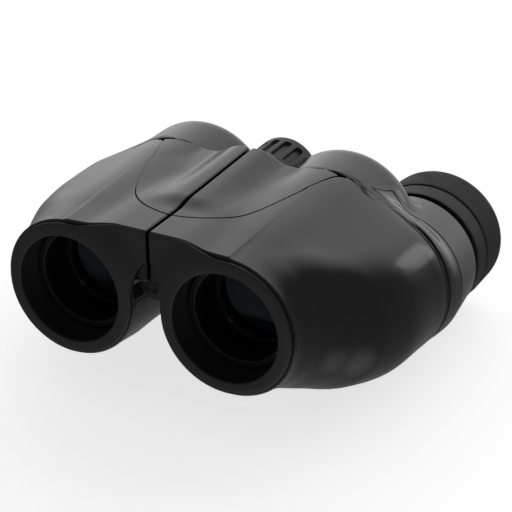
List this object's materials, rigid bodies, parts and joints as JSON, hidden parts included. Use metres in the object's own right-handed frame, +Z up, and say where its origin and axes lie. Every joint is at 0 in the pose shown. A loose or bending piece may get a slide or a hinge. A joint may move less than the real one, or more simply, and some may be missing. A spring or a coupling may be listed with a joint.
{
  "type": "binoculars",
  "caption": "Compact folding binoculars: two prism halves on a centre hinge, with a rear focus wheel, a dioptre ring and soft eyecups.",
  "frame": {"origin": "middle of the bounding box in X and Y, at the lowest point of the two prism housings, with the hinge at its widest", "axes": "+Z up, -Y the way the objectives look, +Y towards the user's eyes, +X the user's left hand"},
  "size_m": [0.1002, 0.084, 0.0455],
  "materials": {
    "gloss_shell": "polished black moulding",
    "matte_bezel": "fine matte black moulding",
    "rubber": "matte black rubber",
    "satin_plastic": "satin black moulding",
    "inner_plastic": "flat black",
    "cast_alloy": "black painted casting",
    "black_anodised": "black anodised",
    "crown_glass": "coated optical glass",
    "flint_glass": "coated optical glass",
    "prism_glass": "polished optical glass",
    "spring_steel": "rolled strip",
    "screw_steel": "zinc plated",
    "blackened_steel": "blackened steel",
    "brass": "turned brass"
  },
  "bodies": {
    "left_half": {"left_front_bezel": "matte_bezel", "left_front_shell": "gloss_shell", "left_rear_cover": "gloss_shell", "left_cover_screws": "screw_steel", "left_prism_plate": "cast_alloy", "left_rear_prism": "prism_glass", "left_front_prism": "prism_glass", "left_rear_prism_clip": "spring_steel", "left_front_prism_clip": "spring_steel", "left_prism_screws": "screw_steel", "left_chassis": "cast_alloy", "left_ocular_sleeve": "inner_plastic", "left_eyecup": "rubber", "left_ocular_barrel": "black_anodised", "left_field_lens": "crown_glass", "left_ocular_spacer": "black_anodised", "left_eye_lens": "crown_glass", "left_ocular_retainer": "black_anodised", "left_trim_ring": "satin_plastic", "hinge_shaft": "blackened_steel", "hinge_cap": "blackened_steel", "hinge_nut": "blackened_steel", "hinge_washers": "blackened_steel", "spindle_retainer": "blackened_steel"},
    "right_half": {"right_front_bezel": "matte_bezel", "right_front_shell": "gloss_shell", "right_rear_cover": "gloss_shell", "right_cover_screws": "screw_steel", "right_prism_plate": "cast_alloy", "right_rear_prism": "prism_glass", "right_front_prism": "prism_glass", "right_rear_prism_clip": "spring_steel", "right_front_prism_clip": "spring_steel", "right_prism_screws": "screw_steel", "right_chassis": "cast_alloy", "right_ocular_sleeve": "inner_plastic", "right_eyecup": "rubber"},
    "focus_wheel": {"focus_wheel": "satin_plastic", "wheel_cap": "satin_plastic", "focus_spindle": "blackened_steel"},
    "focus_carriage": {"focus_carriage": "cast_alloy", "focus_nut": "brass", "cross_pin": "screw_steel"},
    "left_objective": {"left_objective_cell": "black_anodised", "left_objective_retainer": "black_anodised", "left_objective_crown": "crown_glass", "left_objective_flint": "flint_glass", "left_focus_arm": "spring_steel"},
    "right_objective": {"right_objective_cell": "black_anodised", "right_objective_retainer": "black_anodised", "right_objective_crown": "crown_glass", "right_objective_flint": "flint_glass", "right_focus_arm": "spring_steel"},
    "dioptre_ring": {"dioptre_ring": "satin_plastic", "dioptre_pin": "screw_steel"},
    "right_ocular": {"right_ocular_barrel": "black_anodised", "right_field_lens": "crown_glass", "right_ocular_spacer": "black_anodised", "right_eye_lens": "crown_glass", "right_ocular_retainer": "black_anodised"}
  },
  "joints": [
    {"name": "hinge_fold", "type": "hinge", "parent": "left_half", "child": "right_half", "pos_m": [0, 0, 0.03274], "axis": [0, -1, 0], "range_deg": [0, 30]},
    {"name": "focus_turn", "type": "hinge", "parent": "left_half", "child": "focus_wheel", "pos_m": [0, 0.018, 0.03274], "axis": [0, 1, 0], "range_deg": [-180, 180]},
    {"name": "carriage_slide", "type": "slide", "parent": "left_half", "child": "focus_carriage", "axis": [0, 1, 0], "range_m": [-0.0015, 0.0015]},
    {"name": "left_cell_slide", "type": "slide", "parent": "left_half", "child": "left_objective", "axis": [0, 1, 0], "range_m": [-0.0015, 0.0015]},
    {"name": "right_cell_slide", "type": "slide", "parent": "right_half", "child": "right_objective", "axis": [0, 1, 0], "range_m": [-0.0015, 0.0015]},
    {"name": "dioptre_turn", "type": "hinge", "parent": "right_half", "child": "dioptre_ring", "pos_m": [-0.03345, 0.029, 0.01689], "axis": [0, 1, 0], "range_deg": [-45, 45]},
    {"name": "ocular_slide", "type": "slide", "parent": "right_half", "child": "right_ocular", "axis": [0, 1, 0], "range_m": [-0.001, 0.001]}
  ],
  "couplings": [
    {"joint": "focus_turn", "follows": "carriage_slide", "rad_per_m": 2094.4},
    {"joint": "left_cell_slide", "follows": "carriage_slide", "ratio": 1},
    {"joint": "right_cell_slide", "follows": "carriage_slide", "ratio": 1},
    {"joint": "dioptre_turn", "follows": "ocular_slide", "rad_per_m": 785.39}
  ]
}
